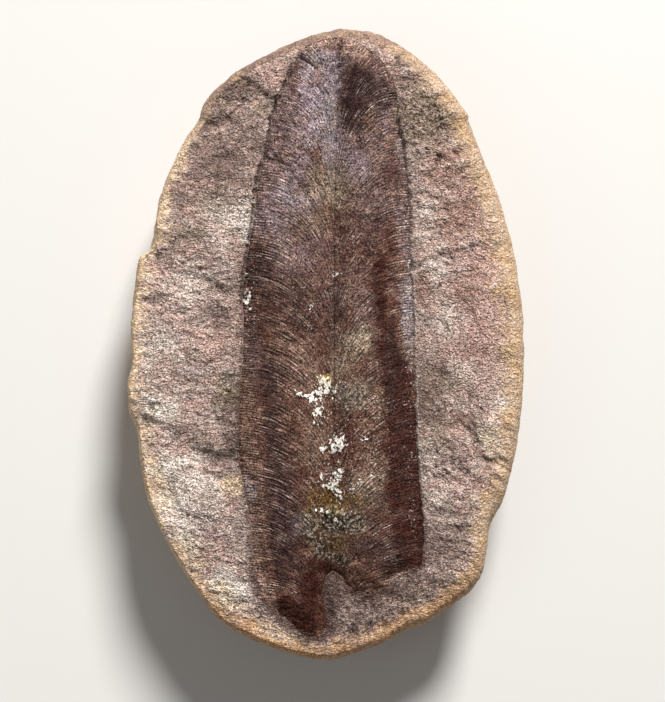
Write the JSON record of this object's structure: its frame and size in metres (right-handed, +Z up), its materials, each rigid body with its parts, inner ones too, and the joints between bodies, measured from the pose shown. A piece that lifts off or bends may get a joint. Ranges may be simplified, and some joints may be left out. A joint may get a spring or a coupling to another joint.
{
  "type": "fossil leaf in a split ironstone nodule",
  "caption": "Half of a split ironstone nodule with one tongue-shaped fossil seed-fern leaflet in relief on its flat broken face, lying on its domed back.",
  "frame": {"origin": "below the middle of the nodule, on the plane it rests on", "axes": "+Y towards the leaf tip, +X to the right of the leaf, +Z up out of the split face"},
  "size_m": [0.0578, 0.092, 0.0166],
  "materials": {
    "ironstone": "rough broken ironstone, pink-brown, with a smoother dark red-brown leaf and a tan rind"
  },
  "bodies": {
    "root": {"nodule_half": "ironstone"}
  },
  "joints": []
}
